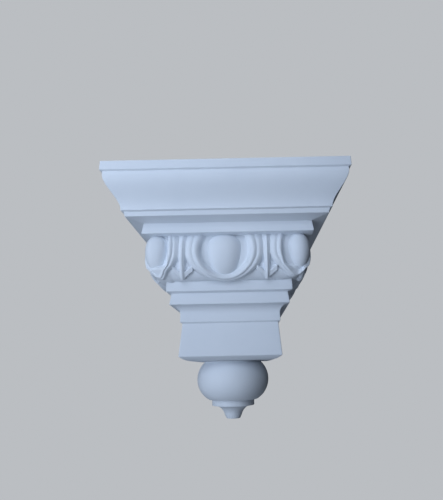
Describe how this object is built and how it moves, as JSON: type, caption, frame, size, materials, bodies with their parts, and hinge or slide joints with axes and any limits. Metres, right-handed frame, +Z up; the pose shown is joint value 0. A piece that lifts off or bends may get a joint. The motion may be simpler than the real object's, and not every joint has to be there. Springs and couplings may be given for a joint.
{
  "type": "capital bracket",
  "caption": "White plaster wall bracket shaped like a capital: a deep crown moulding over an egg-and-dart band and stepped fasciae, tapering to a plain block with a turned drop below.",
  "frame": {"origin": "on the flat back, on the centre line, 100 mm below the top face", "axes": "+X to the right of someone facing the wall, +Y into the wall, +Z up; the front faces -Y"},
  "size_m": [0.32, 0.23, 0.3288],
  "materials": {
    "bracket_plaster": "smooth matt white plaster with soft arrises and faint unevenness",
    "drop_plaster": "smooth matt white plaster, turned"
  },
  "bodies": {
    "root": {"bracket": "bracket_plaster", "drop_finial": "drop_plaster"}
  },
  "joints": []
}
